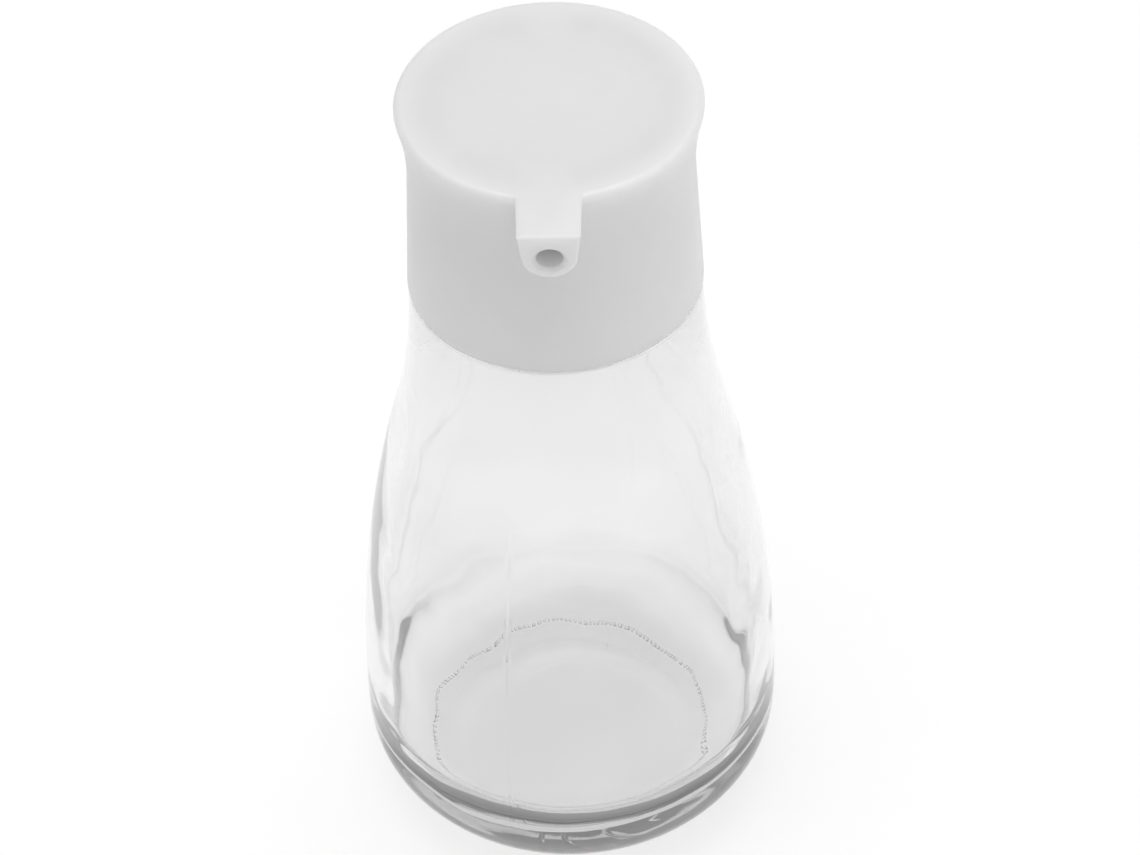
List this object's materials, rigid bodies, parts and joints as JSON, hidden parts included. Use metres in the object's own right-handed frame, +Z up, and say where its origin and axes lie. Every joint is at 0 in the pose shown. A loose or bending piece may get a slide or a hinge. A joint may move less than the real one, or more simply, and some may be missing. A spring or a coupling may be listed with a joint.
{
  "type": "glass oil dispenser",
  "caption": "Empty clear glass table bottle for oil with a thick base, sloping shoulder and a white plastic cap that pours through a short nozzle level with its flat top.",
  "frame": {"origin": "centre of the base, on the surface the bottle stands on", "axes": "+Z up along the bottle's axis, -Y towards the nozzle, +X to the right seen from the nozzle's side"},
  "size_m": [0.067, 0.067, 0.139],
  "materials": {
    "clear_glass": "smooth clear colourless glass, slightly uneven inside, with a fine stippled ring under the base",
    "white_plastic": "white moulded polypropylene with a soft sheen"
  },
  "bodies": {
    "root": {"glass_bottle": "clear_glass", "pouring_cap": "white_plastic"}
  },
  "joints": []
}
